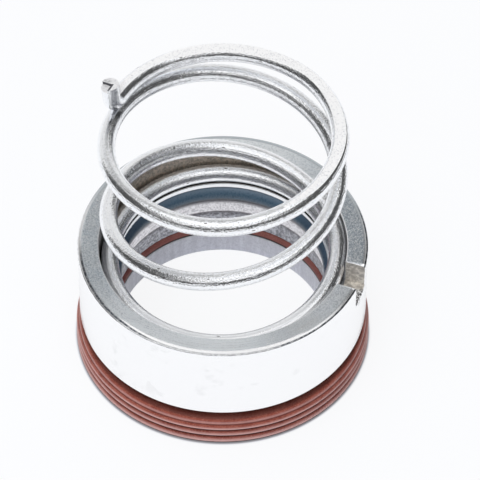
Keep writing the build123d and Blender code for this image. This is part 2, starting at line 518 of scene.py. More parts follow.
# %% [markdown]
# A file has broken the slot's edges, so they get a narrow bevel that catches the light. The file also
# took the rim down a little on both sides. Two more planes mark where it reached, and the rim's corners
# at the slot are moved down, so that the last few tenths of the top slope towards the slot.

# %% Mill the slot
SLOT_BURR = 0.14
FILED_WIDTH, FILED_DEPTH, FILED_REACH = 0.62, 0.13, 0.6


def slot_cut(origin, normal, half_width):
    """Divides the faces round the slot with one plane."""
    round_slot = [
        face for face in retainer_mesh.faces
        if by_slot(face, half_width, 0) and max(vert.co.z for vert in face.verts) > (SHOULDER_Z + CLEAR) * MM
    ]
    divide(retainer_mesh, round_slot, origin, normal)


for side in (-1, 1):
    slot_cut(across * side * SLOT_W / 2 * MM, across, SLOT_ZONE)
    slot_cut(across * side * (SLOT_W / 2 + FILED_WIDTH) * MM, across, SLOT_ZONE)
slot_cut(Vector((0, 0, SLOT_FLOOR * MM)), (0, 0, 1), SLOT_W / 2 + NEAR)
milled = [face for face in retainer_mesh.faces if by_slot(face, SLOT_W / 2 - CLEAR, SLOT_FLOOR + CLEAR)]
bmesh.ops.delete(retainer_mesh, geom=milled, context="FACES")

for side in (-1, 1):
    wall = [
        edge for edge in open_edges(retainer_mesh)
        if all(abs(slot_place(vert)[0] - side * SLOT_W / 2) < NEAR for vert in edge.verts)
    ]
    feet = [vert for edge in wall for vert in edge.verts if abs(slot_place(vert)[2] - SLOT_FLOOR) < NEAR]
    close(retainer_mesh, wall + [retainer_mesh.edges.new(feet[:2])])
close(retainer_mesh, open_edges(retainer_mesh))
print("slot:", len(milled), "faces milled away")

# %% File its edges
filed = [
    vert for vert in retainer_mesh.verts
    if abs(abs(slot_place(vert)[0]) - SLOT_W / 2) < NEAR and by_slot(vert, SLOT_W, RIM_Z - FILED_REACH)
]
bmesh.ops.translate(retainer_mesh, verts=filed, vec=(0, 0, -FILED_DEPTH * MM))
burred = [
    edge for edge in retainer_mesh.edges
    if edge.calc_face_angle(0.0) > radians(40) and edge.is_convex
    and all(by_slot(vert, SLOT_W / 2 + NEAR, SLOT_FLOOR - NEAR) for vert in edge.verts)
]
bmesh.ops.recalc_face_normals(retainer_mesh, faces=retainer_mesh.faces[:])
bmesh.ops.bevel(
    retainer_mesh, geom=burred, offset=SLOT_BURR * MM, offset_type="OFFSET", affect="EDGES", segments=2,
    profile=0.5, material=-1, clamp_overlap=True,
)
print(len(filed), "corners filed down,", len(burred), "edges broken")
retainer = finished(retainer_mesh, "retainer", "rotary_head", sharp=8)

# %% [markdown]
# ## The O-ring and the thrust washer
# A rubber cord ring seals the shaft, and a thin washer on it takes the spring. The cord is a circle
# spun about the axis, and the washer is a flat profile like the rings above.

# %% O-ring and washer shapes
CORD_R, CORD_AT_R, CORD_Z = 2.1, 22.1, 17.45
ROUND_SIDES = 48
WASHER_BORE_R, WASHER_R, WASHER_Z, WASHER_T = 20.8, 24.4, 19.55, 1.2
WASHER_TOP = WASHER_Z + WASHER_T
WASHER_ROUNDS = {0: 0.15, 1: 0.15, 2: 0.2, 3: 0.28}

cord_mesh = bmesh.new()
bmesh.ops.create_circle(
    cord_mesh, segments=ROUND_SIDES, radius=CORD_R * MM,
    matrix=Matrix.Translation(Vector((CORD_AT_R, 0, CORD_Z)) * MM) @ Matrix.Rotation(pi / 2, 4, "X"),
)
shaft_o_ring = finished(spun(cord_mesh, TURN_STEPS), "shaft_o_ring", "rotary_head")
thrust_washer = finished(
    turned(
        [(WASHER_BORE_R, WASHER_Z), (WASHER_R, WASHER_Z), (WASHER_R, WASHER_TOP), (WASHER_BORE_R, WASHER_TOP)],
        WASHER_ROUNDS,
    ),
    "thrust_washer", "rotary_head",
)

# %% [markdown]
# ## The drive spring
# The spring is one length of wire: a short tang, a tight bend, a nearly level top turn, open turns, and
# a level bottom turn. A curve with a bevel would do for plain wire, but here both ends are ground flat
# and the tang's end is sheared, so it is a mesh: a circle is spun a few degrees at a time about the
# axis, dropping a little at each step. The pitch grows, holds and dies away, as a coiling machine
# makes it. The first turn has been set by hand and strays from the even coil, and the lowest turn leans
# towards the well's wall beside the slot.

# %% The wire's path
WIRE_R, COIL_R = 1.75, 22.35
UPPER_Z, LOWER_Z = 57.4, 22.2
TOP_LEVEL, PITCH_IN, PITCH_HOLD, PITCH_OUT, BOTTOM_LEVEL = 145.0, 430.0, 165.0, 298.0, 169.0
WHOLE_TURN = TOP_LEVEL + PITCH_IN + PITCH_HOLD + PITCH_OUT + BOTTOM_LEVEL
# How far the wire strays: degrees down the coil, then outwards and upwards in mm.
WANDER = (
    (0, 0.45, -0.50), (25, 0.42, -0.48), (50, 0.02, -0.22), (80, -0.05, -0.15), (112, 0.35, -0.38),
    (150, 0.08, -0.27), (185, -0.28, -0.28), (212, -0.38, -0.30), (245, -0.10, -0.10), (290, 0.0, 0.0),
    (845, 0.0, 0.0), (880, 0.30, 0.0), (950, 0.30, 0.0), (1000, 0.0, 0.0),
)


def wander(turn):
    """How far the wire strays from its even coil here, outwards and upwards, in mm."""
    for (here, out_here, up_here), (there, out_there, up_there) in zip(WANDER, WANDER[1:]):
        if turn <= there:
            share = (turn - here) / (there - here)
            share = share * share * (3 - 2 * share)
            return out_here + (out_there - out_here) * share, up_here + (up_there - up_here) * share
    return 0.0, 0.0


def coil_height(turn):
    """Height of the wire's centre, in mm, this many degrees down the coil."""
    growing = min(max(turn - TOP_LEVEL, 0), PITCH_IN)
    holding = min(max(turn - TOP_LEVEL - PITCH_IN, 0), PITCH_HOLD)
    dying = min(max(turn - TOP_LEVEL - PITCH_IN - PITCH_HOLD, 0), PITCH_OUT)
    fallen = growing**2 / (2 * PITCH_IN) + holding + dying - dying**2 / (2 * PITCH_OUT)
    whole_fall = PITCH_IN / 2 + PITCH_HOLD + PITCH_OUT / 2
    return UPPER_Z - (UPPER_Z - LOWER_Z) * fallen / whole_fall + wander(turn)[1]


print("open turns:", round((WHOLE_TURN - TOP_LEVEL - BOTTOM_LEVEL) / 360, 2), "wire:", 2 * WIRE_R, "mm")

# %% [markdown]
# Four numbers are kept on every point of the wire while it grows: how far along the wire it is, counted
# from the bend, where it sits round the section, as its rise and its reach outwards, and how high the
# section's centre is. Finishes that follow the wire read them later.

# %% The wire's first section
TANG_BEND_R, TANG_LEAN, TANG_H = 2.0, radians(5.1), 5.6
TANG_ANGLE = radians(158.5)
COIL_START = TANG_ANGLE - atan2(TANG_BEND_R, COIL_R)

wire = bmesh.new()
along, rise, reach, centre_z = (
    wire.verts.layers.float.new(name) for name in ("along", "rise", "reach", "centre_z")
)
outward = Vector((cos(COIL_START), sin(COIL_START), 0))
heading = Vector((sin(COIL_START), -cos(COIL_START), 0))
coil_start = (outward * (COIL_R + wander(0)[0]) + Vector((0, 0, coil_height(0)))) * MM
section_frame = Matrix((outward, (0, 0, 1), heading)).transposed().to_4x4()
bmesh.ops.create_circle(
    wire, segments=ROUND_SIDES, radius=WIRE_R * MM, matrix=Matrix.Translation(coil_start) @ section_frame,
)
first_ring = wire.verts[:]
for vert in first_ring:
    vert[rise] = (vert.co - coil_start).z / (WIRE_R * MM)
    vert[reach] = (vert.co - coil_start).dot(outward) / (WIRE_R * MM)
    vert[centre_z] = coil_height(0)
print("wire starts", round(coil_start.z / MM, 2), "mm up")

# %% Spin the coil
COIL_STEP = 2.5


def verts_of(edges):
    """The edges' vertices, each once."""
    return list(dict.fromkeys(vert for edge in edges for vert in edge.verts))


def new_section(made, place, centre):
    """Finds the section that a step has made, and keeps its place along the wire and its height."""
    section = [part for part in made if isinstance(part, bmesh.types.BMEdge)]
    for vert in verts_of(section):
        vert[along], vert[centre_z] = place, centre
    return section


section = wire.edges[:]
steps = round(WHOLE_TURN / COIL_STEP)
for step in range(steps):
    here, there = WHOLE_TURN * step / steps, WHOLE_TURN * (step + 1) / steps
    out_here = Vector((cos(COIL_START - radians(here)), sin(COIL_START - radians(here)), 0))
    fall = Vector((0, 0, coil_height(there) - coil_height(here)))
    made = bmesh.ops.spin(
        wire, geom=section, cent=(0, 0, 0), axis=(0, 0, 1), angle=-radians(there - here), steps=1,
        dvec=(out_here * (wander(there)[0] - wander(here)[0]) + fall) * MM,
    )["geom_last"]
    section = new_section(made, radians(there) * COIL_R, coil_height(there))
close(wire, section)
print("coil:", len(wire.faces), "faces")

# %% [markdown]
# The tang grows from the coil's first section the other way: a quarter turn about the bend's centre,
# then a straight run up. Its points count backwards along the wire. Cropping shears have cut its end,
# which gets a finish of its own.

# %% Bend up the tang
BEND_STEPS, STRAIGHT_STEPS = 16, 4
BEND_LENGTH = TANG_BEND_R * pi / 2
STRAIGHT = TANG_H / cos(TANG_LEAN) - TANG_BEND_R
GROUND, SHEARED = 1, 2
upwards = Vector((0, 0, cos(TANG_LEAN))) + outward * sin(TANG_LEAN)

section = [edge for edge in wire.edges if edge.verts[0] in first_ring and edge.verts[1] in first_ring]
for step in range(BEND_STEPS):
    made = bmesh.ops.spin(
        wire, geom=section, cent=coil_start + upwards * TANG_BEND_R * MM, axis=(-heading).cross(upwards),
        angle=pi / 2 / BEND_STEPS, steps=1,
    )["geom_last"]
    section = new_section(made, -BEND_LENGTH * (step + 1) / BEND_STEPS, coil_height(0))
for step in range(STRAIGHT_STEPS):
    made = bmesh.ops.extrude_edge_only(wire, edges=section)["geom"]
    section = new_section(made, -BEND_LENGTH - STRAIGHT * (step + 1) / STRAIGHT_STEPS, coil_height(0))
    bmesh.ops.translate(wire, verts=verts_of(section), vec=upwards * STRAIGHT / STRAIGHT_STEPS * MM)
close(wire, [edge for edge in section if edge.is_boundary], SHEARED)
print("tang: bend", TANG_BEND_R, "mm, then", round(STRAIGHT, 2), "mm straight")

# %% [markdown]
# The shears broke a corner off the tang's end. Three bisecting planes mark the corner, its faces are
# deleted, and what they leave open is closed again, as at the slot: two upright faces and a floor, which
# meet at one new point.

# %% Places on the tang's end
TANG_TIP = coil_start + (upwards * TANG_H / cos(TANG_LEAN) - heading * TANG_BEND_R) * MM
TIP_AXES = (outward * cos(TANG_LEAN) - Vector((0, 0, sin(TANG_LEAN))), heading, upwards)
STEP_OUT, STEP_BACK, STEP_DEPTH = -0.38, 0.22, 0.75
STEP_FACES = {"out": (0, STEP_OUT), "back": (1, STEP_BACK), "floor": (2, -STEP_DEPTH)}
TIP_ZONE, EXACT = -1.1, 1e-3


def tip_place(element):
    """Where a vertex, edge or face lies on the tang's end: outwards, back, and above its end, in mm."""
    from_tip = (middle_of(element) - TANG_TIP) / MM
    return [from_tip.dot(axis) for axis in TIP_AXES]


def down_wire(face):
    """How far along the wire a face lies: less than 0 on the tang, more on the coil."""
    return sum(vert[along] for vert in face.verts)


def on_step(name, vert):
    """Whether a vertex lies on that face of the broken corner."""
    axis, level = STEP_FACES[name]
    return abs(tip_place(vert)[axis] - level) < EXACT


# %% Break off the corner
for axis, level in STEP_FACES.values():
    tip = [face for face in wire.faces if down_wire(face) < 0 and tip_place(face)[2] > TIP_ZONE]
    divide(wire, tip, TANG_TIP + TIP_AXES[axis] * level * MM, TIP_AXES[axis])
broken = []
for face in wire.faces:
    out, back, up = tip_place(face)
    if down_wire(face) < 0 and out > STEP_OUT and back < STEP_BACK and up > -STEP_DEPTH + EXACT:
        broken.append(face)
bmesh.ops.delete(wire, geom=broken, context="FACES")

meeting_point = sum((TIP_AXES[axis] * level for axis, level in STEP_FACES.values()), Vector())
corner = wire.verts.new(TANG_TIP + meeting_point * MM)
corner[along], corner[centre_z] = STEP_DEPTH - BEND_LENGTH - STRAIGHT, UPPER_Z
rims = [edge for edge in open_edges(wire) if tip_place(edge)[2] > TIP_ZONE]
spokes = {}
for pair in combinations(STEP_FACES, 2):
    shared = next(vert for vert in verts_of(rims) if all(on_step(name, vert) for name in pair))
    spokes[pair] = wire.edges.new((shared, corner))
for name in STEP_FACES:
    loop = [edge for edge in rims if all(on_step(name, vert) for vert in edge.verts)]
    close(wire, loop + [edge for pair, edge in spokes.items() if name in pair], SHEARED)
print("tang's end:", len(broken), "faces broken away")

# %% [markdown]
# Grinding the ends flat is two bisecting planes: what lies beyond them is deleted, and the openings are
# closed with flat faces. The cut edges are marked sharp, so that the flats stay crisp and the wire
# beside them stays round. Only the coil is ground, so the tang is kept out by its place along the wire.

# %% Grind the ends
TOP_FLAT, BOTTOM_FLAT = 58.5, 20.75

for level, sign in ((TOP_FLAT, 1), (BOTTOM_FLAT, -1)):
    coil = [face for face in wire.faces if down_wire(face) > 0]
    divide(wire, coil, (0, 0, level * MM), (0, 0, sign))
    beyond = [
        face for face in wire.faces
        if down_wire(face) > 0 and (middle_of(face).z / MM - level) * sign > EXACT / 10
    ]
    bmesh.ops.delete(wire, geom=beyond, context="FACES")
    flat = [
        edge for edge in open_edges(wire) if all(abs(vert.co.z / MM - level) < EXACT for vert in edge.verts)
    ]
    for edge in flat:
        edge.smooth = False
    corners = [vert for edge in flat for vert in edge.verts]
    ends = [vert for vert in corners if corners.count(vert) == 1]
    if ends:
        flat.append(wire.edges.new(ends))
    close(wire, flat, GROUND)
    if ends:
        close(wire, open_edges(wire))
    print("flat at", level, "mm:", len(flat), "edges round it")
bmesh.ops.recalc_face_normals(wire, faces=wire.faces[:])

# %% [markdown]
# The spring crosses a joint: its lower turn sits on the head and its upper turn under the shaft's stop.
# Here it becomes a piece that rides on no body, and the heights of its sections' centres are read back
# from it.

# %% The spring as a piece
STILL_BELOW, FREE_ABOVE = 26.0, 53.5

spring = finished(wire, "spring", None, sharp=30)
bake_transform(spring)
centres = [0.0] * len(spring.data.vertices)
spring.data.attributes["centre_z"].data.foreach_get("value", centres)
print("spring: section centres from", round(min(centres), 2), "to", round(max(centres), 2), "mm")

# %% [markdown]
# ## Finishes
# All the finishes start alike: a Principled shader, and the piece's own coordinates in millimetres. Two
# sets of coordinates are enough for turned pieces. One is the plain place. The other is a lathe place,
# where the direction round the axis counts little and the radius and height count a lot, so that any
# noise read there turns into fine rings, as a tool leaves them.

# %% Places to read a pattern at
def distance(point, centre=(0, 0, 0)):
    """Level distance from an upright line, in mm."""
    offset = vector_calc("SUBTRACT", point, centre)
    return vector_calc("LENGTH", vector_calc("MULTIPLY", offset, (1, 1, 0)))


def own_place():
    """The piece's own place in mm, its radius and its height."""
    metres = add_node("TexCoord").outputs["Object"]
    point = vector_calc("MULTIPLY", metres, (1 / MM, 1 / MM, 1 / MM))
    return point, distance(point), split(point)["Z"]


def lathe_place(point, radius, high, around, fine):
    """A place where patterns stretch into rings: around cells round the axis, fine cells per mm across."""
    parts = split(vector_calc("MULTIPLY", bearing(point), grey(around / (2 * pi))))
    rings = calc("MULTIPLY", calc("ADD", radius, high), fine)
    return add_node("CombineXYZ", X=parts["X"], Y=parts["Y"], Z=rings).outputs["Vector"]


def drawn_out(point, scale, rotation=(0, 0, 0)):
    """The place turned and then squeezed, so that a pattern read there is drawn out."""
    return add_node("Mapping", Vector=point, Rotation=rotation, Scale=scale).outputs["Vector"]


def cloud(place, scale=1, detail=2, roughness=0.5):
    """Noise from 0 to 1, mostly near the middle; scale is in cells per unit of the place."""
    return add_node("TexNoise", Vector=place, Scale=scale, Detail=detail, Roughness=roughness).outputs["Fac"]


# %% Starting a finish and putting it on
def new_finish(name, **settings):
    """A material and its node tree; settings are the constant sockets of its Principled shader."""
    material = bpy.data.materials.new(name)
    material.use_nodes = True
    shader = material.node_tree.nodes["Principled BSDF"]
    for key, value in settings.items():
        shader.inputs[key.replace("_", " ")].default_value = value
    return material, material.node_tree


def dress(piece, material, shade, rough, *bumps, **others):
    """Completes the finish and puts it on; each bump is a pattern and its depth in mm."""
    for pattern, depth in bumps:
        bump = add_node("Bump", Height=pattern, Distance=depth * MM, Strength=1)
        if "Normal" in others:
            feed(bump.inputs["Normal"], others["Normal"])
        others["Normal"] = bump.outputs["Normal"]
    shader = tree.nodes["Principled BSDF"]
    for name, value in {"Base Color": shade, "Roughness": rough, **others}.items():
        feed(shader.inputs[name], value)
    piece.data.materials.append(material)
    print(f"{piece.name}: {material.name}, {len(tree.nodes)} nodes")


# %% [markdown]
# ### Pale ceramic
# Dense ceramic is a little glossy and almost without colour. Grinding has left faint upright streaks in
# the bore, so one noise is stretched along the height, and a finer one gives the grain.

# %% Seat ring finish
ceramic, tree = new_finish("pale_ceramic", IOR=1.6)
point = own_place()[0]
streaks = cloud(drawn_out(point, (1.1, 1.1, 0.12)), 1, 4, 0.6)
smudges = cloud(point, 1.3, 4, 0.7)
grain = cloud(point, 4, 2, 0.6)
shade = layers(
    (0.70, 0.69, 0.725),
    (ease(streaks, 0.35, 0.68), (0.82, 0.815, 0.85)),
    (ease(smudges, 0.46, 0.66, 0, 0.5), (0.56, 0.55, 0.58)),
    (ease(grain, 0.40, 0.75, 0, 0.5), (0.50, 0.49, 0.53)),
)
dress(seat_ring, ceramic, shade, ease(grain, 0.3, 0.7, 0.28, 0.45), (streaks, 0.02), (grain, 0.012))

# %% [markdown]
# ### Brown rubber
# The cup is a red-brown synthetic rubber with a fine matt grain and light and dark specks. Every crest is
# painted paler, partly wear and partly a painted highlight, and the grooves under the crests get painted
# shade. Both follow the height on the wall, so one rising saw-tooth value, the place within a rib, drives
# them. The rounded shoulder gets a painted sheen, and painted shade darkens the blunt foot and the top
# under the retainer.

# %% Rubber cup finish: where wear, painted light and painted shade are
RIBS_END = RIB_FIRST + 2 * RIB_SPACING + RIB_RAMPS[-1]
FOOT_TOP = CUP_FOOT + FOOT_UP

brown, tree = new_finish("brown_rubber", IOR=1.4, Specular_IOR_Level=0.32)
point, radius, high = own_place()
on_wall = ease(radius, CUP_R - 0.25, CUP_R - 0.05)
ribbed = product(on_wall, ease(high, RIBS_END + 0.05, RIBS_END + 0.25, 1, 0))
in_rib = calc("DIVIDE", calc("SUBTRACT", high, RIB_FIRST), RIB_SPACING)
in_rib = calc("FRACT", calc("ADD", in_rib, 1))
# painted shade in the groove under each crest
painted_groove_shade = product(ribbed, ease(in_rib, 0.34, 0.62), 0.92)
# painted shade on the blunt underside of the lowest rib
painted_foot_shade = product(on_wall, ease(high, FOOT_TOP - 0.05, FOOT_TOP + 0.13, 0.95, 0))
# crests: paler from wear and from a painted highlight
crest_wear_and_highlight = product(
    ribbed, ease(radius, CUP_R + 0.23, CUP_R + 0.53), ease(high, FOOT_TOP, FOOT_TOP + 0.2, 0, 0.85),
)
# painted sheen on the rounded shoulder
shoulder_sheen = product(
    band(high, RIBS_END + 0.25, CUP_TOP - 0.85, 0.2), ease(radius, CUP_R - 0.55, CUP_R - 0.25, 0, 0.42),
)
inside = ease(radius, SEAT_BORE_R + 0.6, SEAT_BORE_R + 1.3, 0.55, 0)
# painted shade on the cup's top, under the retainer's overhang
painted_shade_under_head = product(
    ease(high, CUP_TOP - 0.65, CUP_TOP - 0.15, 0, 0.70), ease(radius, SEAT_R - 0.5, SEAT_R),
)
joint = product(
    ease(radius, SEAT_BORE_R + 0.3, SEAT_BORE_R + 0.6, 1, 0),
    ease(high, SEAT_H + 0.25, SEAT_H + 0.5, 1, 0),
)
print("ribs end", RIBS_END, "mm up")

# %% Rubber cup finish: colour
grain = cloud(point, 3.2, 3, 0.65)
blotches = cloud(point, 0.35, 2, 0.5)
specks = cloud(point, 5.2, 1, 0.5)
shade = layers(
    (0.30, 0.068, 0.046),
    (ease(blotches, 0.35, 0.65), (0.40, 0.108, 0.076)),
    (ease(grain, 0.45, 0.75, 0, 0.5), (0.50, 0.18, 0.12)),
    (ease(specks, 0.56, 0.66, 0, 0.45), (0.60, 0.27, 0.20)),
    (ease(specks, 0.34, 0.44, 0.45, 0), (0.14, 0.030, 0.020)),
    (painted_groove_shade, (0.065, 0.010, 0.007)),
    (either(crest_wear_and_highlight, shoulder_sheen), (0.78, 0.48, 0.44)),
    (painted_foot_shade, (0.035, 0.008, 0.010)),
    (inside, (0.20, 0.10, 0.10)),
    (painted_shade_under_head, (0.075, 0.018, 0.014)),
    (joint, (0.012, 0.008, 0.008)),
)
dress(seat_cup, brown, shade, ease(grain, 0.3, 0.7, 0.34, 0.52), (blotches, 0.05), (grain, 0.03))

# %% [markdown]
# ### Grey carbide
# The face ring is sintered and ground: a cold grey with a metallic sheen, mottled by the pressing. Close
# under the retainer's lip its bore is painted dark, as painted shade where no light reaches.

# %% Face ring finish
carbide, tree = new_finish("grey_carbide", Metallic=0.7)
point, radius, high = own_place()
mottle = cloud(point, 1.6, 4, 0.7)
lines = cloud(lathe_place(point, radius, high, 30, 5), 1, 3, 0.6)
# painted shade in the bore close under the retainer's lip
painted_shade_under_lip = product(
    ease(high, FACE_TOP - 2, FACE_TOP - 0.5),
    ease(radius, FACE_BORE_R + FACE_EDGE, FACE_BORE_R + FACE_EDGE + 0.1, 0.65, 0),
)
shade = layers(
    (0.17, 0.17, 0.19),
    (ease(mottle, 0.38, 0.66), (0.60, 0.61, 0.66)),
    (ease(lines, 0.5, 0.8, 0, 0.6), (0.62, 0.63, 0.68)),
    (painted_shade_under_lip, (0.08, 0.075, 0.08)),
)
dress(face_ring, carbide, shade, ease(mottle, 0.3, 0.7, 0.28, 0.5), (lines, 0.012), (mottle, 0.03))

# %% [markdown]
# ### Turned steel
# The retainer has several surfaces, told apart by radius, height and place round the axis. Its outer
# wall is polished. Its top is faced on the lathe, so the metal there is greyer and its shine is drawn
# out across the tool's rings. Its bore is plain, its well is painted brown as a painted reflection, and
# the slot is milled, dull and tan. First comes a mask for each of these.

# %% Retainer finish: where each surface is
steel, tree = new_finish("turned_steel", Metallic=1, Anisotropic=0.85, Anisotropic_Rotation=0.25)
point, radius, high = own_place()
level = bearing(point)
slot_parts = split(drawn_out(point, (1, 1, 1), (0, 0, -SLOT_TURN)))
out_slot, over_slot = slot_parts["X"], slot_parts["Y"]

on_top = ease(high, RIM_Z - 0.10, RIM_Z - 0.03)
in_bore = product(
    ease(radius, GROOVE_R + 0.05, WELL_R, 1, 0),
    ease(high, SHOULDER_Z - 0.1, SHOULDER_Z + 0.1, 1, 0),
)
in_slot = product(
    band(over_slot, -SLOT_W / 2 - 0.02, SLOT_W / 2 + 0.02, 0.03),
    ease(out_slot, WELL_R - 0.9, WELL_R - 0.6), ease(high, SLOT_FLOOR - 0.06, SLOT_FLOOR - 0.02),
    ease(high, RIM_Z - 0.3, RIM_Z - 0.2, 1, 0),
)
in_well = product(
    ease(radius, WELL_R + 0.03, WELL_R + 0.1, 1, 0),
    ease(high, SHOULDER_Z - 0.5, SHOULDER_Z - 0.1), outside(in_slot),
)
print("slot finish:", SLOT_W, "mm across, from", SLOT_FLOOR, "mm up")

# %% [markdown]
# The faced top is not even all round. It is painted lighter at the front and at the back, a painted
# reflection of the shine drawn out across the tool's rings. It is darker and grainier beside the slot,
# and a little warmer between the two. Bright specks in its grain are painted glints. Small bright flecks
# lie on it, more of them beside the slot and at its mouth: each cell of a cell pattern has a random
# colour, and that chooses which cells carry a fleck.

# %% Retainer finish: the faced top
rings = cloud(lathe_place(point, radius, high, 14, 3.2), 1, 4, 0.65)
grain = cloud(point, 3.6, 3, 0.7)
blotches = cloud(point, 0.22, 3, 0.55)
sparkle = cloud(point, 4.6, 2, 0.7)
# painted reflection: the front and the back of the top are painted lighter
smooth = either(toward(level, 250, 21.6, 51.7), toward(level, 102, 18.2, 72.5))
beside_slot = toward(level, 10, 19.9, 30.7)
warmer = toward(level, 318, 14.1, 36.9)
grainy = outside(product(toward(level, 282, 18.2, 51.7), 0.65))
faced = layers(
    (0.64, 0.71, 0.77),
    (ease(blotches, 0.35, 0.62), (0.74, 0.78, 0.80)),
    (ease(rings, 0.42, 0.66, 0, 0.45), (0.92, 0.95, 0.97)),
    (ease(grain, 0.44, 0.62, 0, 0.5), (0.45, 0.48, 0.51)),
    (product(smooth, 0.9), (0.99, 1, 1)),
    (ease(rings, 0.34, 0.50, 0.35, 0), (0.50, 0.49, 0.47)),
    (product(beside_slot, ease(grain, 0.36, 0.62, 0.25, 0.75)), (0.33, 0.38, 0.44)),
    (product(warmer, 0.5), (0.84, 0.81, 0.79)),
    (product(grainy, ease(sparkle, 0.34, 0.47, 0.55, 0)), (0.34, 0.37, 0.41)),
    # bright specks: painted glints
    (product(grainy, ease(sparkle, 0.48, 0.60, 0, 0.85)), grey(1)),
)
faced = mix(1, faced, (0.955, 0.980, 1), "MULTIPLY")
print("faced top:", len(tree.nodes), "nodes so far")

# %% Retainer finish: flecks on the top
FLECK_LIMIT, MORE_BESIDE, MORE_AT_MOUTH = 0.96, 0.12, 0.45

cells = add_node("TexVoronoi", Vector=point, Scale=2.6, Randomness=1).outputs
chance = add_node("SeparateColor", Color=cells["Color"]).outputs["Red"]
chance = calc("MULTIPLY_ADD", beside_slot, MORE_BESIDE, chance)
chance = calc("MULTIPLY_ADD", toward(level, -4, 8.1, 21.6), MORE_AT_MOUTH, chance)
flecks = product(
    ease(cells["Distance"], 0.24, 0.36, 1, 0),
    ease(chance, FLECK_LIMIT, FLECK_LIMIT + 0.02),
)
faced = mix(flecks, faced, grey(0.98))
print("flecks: in", round(100 * (1 - FLECK_LIMIT)), "of 100 cells")

# %% [markdown]
# The well is painted brown, paler at the back: a painted reflection. The bore is painted darker towards
# the lip's two edges, where it meets the O-ring and the face ring, as painted shade. The slot's mouth is
# torn: the cutter pushed metal out over the wall, and pieces of it chipped off. One noise, drawn out
# upright, decides both where the mouth's floor is dark and where the chips run down the wall.

# %% Retainer finish: bore, well and slot
TEAR_DEPTH = 1.5

at_back = toward(level, 95, 41.4, 78.5)
mottle = ease(cloud(point, 1.3, 4, 0.8), 0.46, 0.58, 0, 0.75)
# painted reflection: the well's brown, paler at the back
painted_well_reflection = layers(
    mix(at_back, (0.40, 0.40, 0.41), (0.42, 0.36, 0.30)),
    (ease(grain, 0.35, 0.65), mix(at_back, (0.80, 0.80, 0.81), (0.80, 0.74, 0.66))),
    (product(mottle, at_back), (0.99, 0.86, 0.74)),
)
bored = layers(
    (0.92, 0.91, 0.94),
    (ease(cloud(point, 2, 3, 0.7), 0.42, 0.62), (0.60, 0.59, 0.62)),
    # painted shade at the lip's top edge under the O-ring, and at its lower edge
    (ease(high, LIP_TOP - 1.1, LIP_TOP - 0.2, 0, 0.85), (0.16, 0.16, 0.18)),
    (ease(high, FACE_TOP + 0.15, FACE_TOP + 0.35, 0.85, 0), (0.16, 0.15, 0.16)),
)
torn_level = calc(
    "ADD", cloud(drawn_out(point, (1, 1, 0.28)), 2.4, 3, 0.7),
    ease(high, SLOT_FLOOR - TEAR_DEPTH, SLOT_FLOOR, -0.10, 0.04),
)
chips = ease(torn_level, 0.52, 0.57)
at_mouth = product(ease(out_slot, RETAINER_R - 2, RETAINER_R - 1.4), ease(over_slot, 0.9, 1.6, 1, 0))
milled_shade = layers(
    (0.50, 0.46, 0.41),
    (ease(cloud(point, 1.1, 4, 0.7), 0.36, 0.64), (0.98, 0.93, 0.85)),
    (at_mouth, mix(chips, grey(0.97), (0.10, 0.09, 0.08))),
)
print("mouth torn", TEAR_DEPTH, "mm down")

# %% [markdown]
# The rim's outer edge is painted white on its crown at the front, a painted highlight, and painted grey
# at the back, a painted reflection. Below it runs a thin broken dark line, a painted reflection in the
# edge's small round. On both sides of the front the edge is painted darker, more to one side than to the
# other, another painted dark reflection. So that darkening is a ring round a centre of its own.

# %% Retainer finish: the rim's edges
EDGE_LINE, TEAR_WIDTH = 0.16, 1.8
DARK_EDGE_CENTRE = (0.13, -0.15, 0)
CROWN_IN = RETAINER_R - CROWN_WIDTH

near_rim = ease(high, RIM_Z - 0.45, RIM_Z - 0.40)
# the crown at the front is painted white, a painted highlight; behind, it is painted grey, a painted reflection
on_crown = product(ease(radius, CROWN_IN - 0.03, CROWN_IN + 0.01), near_rim, toward(level, 265, 32.9, 42.3))
crown_shade_behind = product(
    ease(radius, CROWN_IN - 0.05, CROWN_IN + 0.15), near_rim, toward(level, 85, 60, 87.1),
)
burr = product(
    band(radius, WELL_R - 0.05, WELL_R + RIM_EDGE + 0.02, 0.02),
    ease(high, RIM_Z - 0.2, RIM_Z - 0.17),
)
# painted dark reflection: a thin broken line under the crown
edge_line = product(
    band(high, RIM_Z - CROWN_DROP - EDGE_LINE, RIM_Z - CROWN_DROP - 0.02, 0.03),
    ease(radius, RETAINER_R - 0.3, RETAINER_R - 0.2),
    ease(cloud(point, 0.9, 3, 0.7), 0.42, 0.56, 0.10, 0.60),
)
beside_front = product(
    ease(toward(level, 266, 18.2, 32.9), 0, 1, 1, 0.5),
    outside(toward(level, 102, 75.5, 90)),
)
# painted dark reflection on both sides of the front edge
from_dark_edge_centre = distance(point, DARK_EDGE_CENTRE)
dark_edge_in = calc("MULTIPLY_ADD", toward(level, 205, 18.2, 41.4), -0.16, RETAINER_R - 0.52)
dark_edge_reflection = product(
    ease(calc("SUBTRACT", from_dark_edge_centre, dark_edge_in), -0.05, 0.05),
    ease(from_dark_edge_centre, RETAINER_R - 0.28, RETAINER_R - 0.18, 1, 0), near_rim, beside_front,
    ease(cloud(point, 1.8, 3, 0.7), 0.40, 0.56, 0.60, 1),
)
chipped = product(
    chips, band(high, SLOT_FLOOR - TEAR_DEPTH, SLOT_FLOOR, 0.2),
    band(over_slot, -SLOT_W / 2, TEAR_WIDTH, 0.3), ease(out_slot, RETAINER_R - 1, RETAINER_R - 0.7),
)
print("crown:", CROWN_WIDTH, "mm wide, from radius", round(CROWN_IN, 2))

# %% Retainer finish: colour and shine
on_face = product(on_top, outside(on_crown))
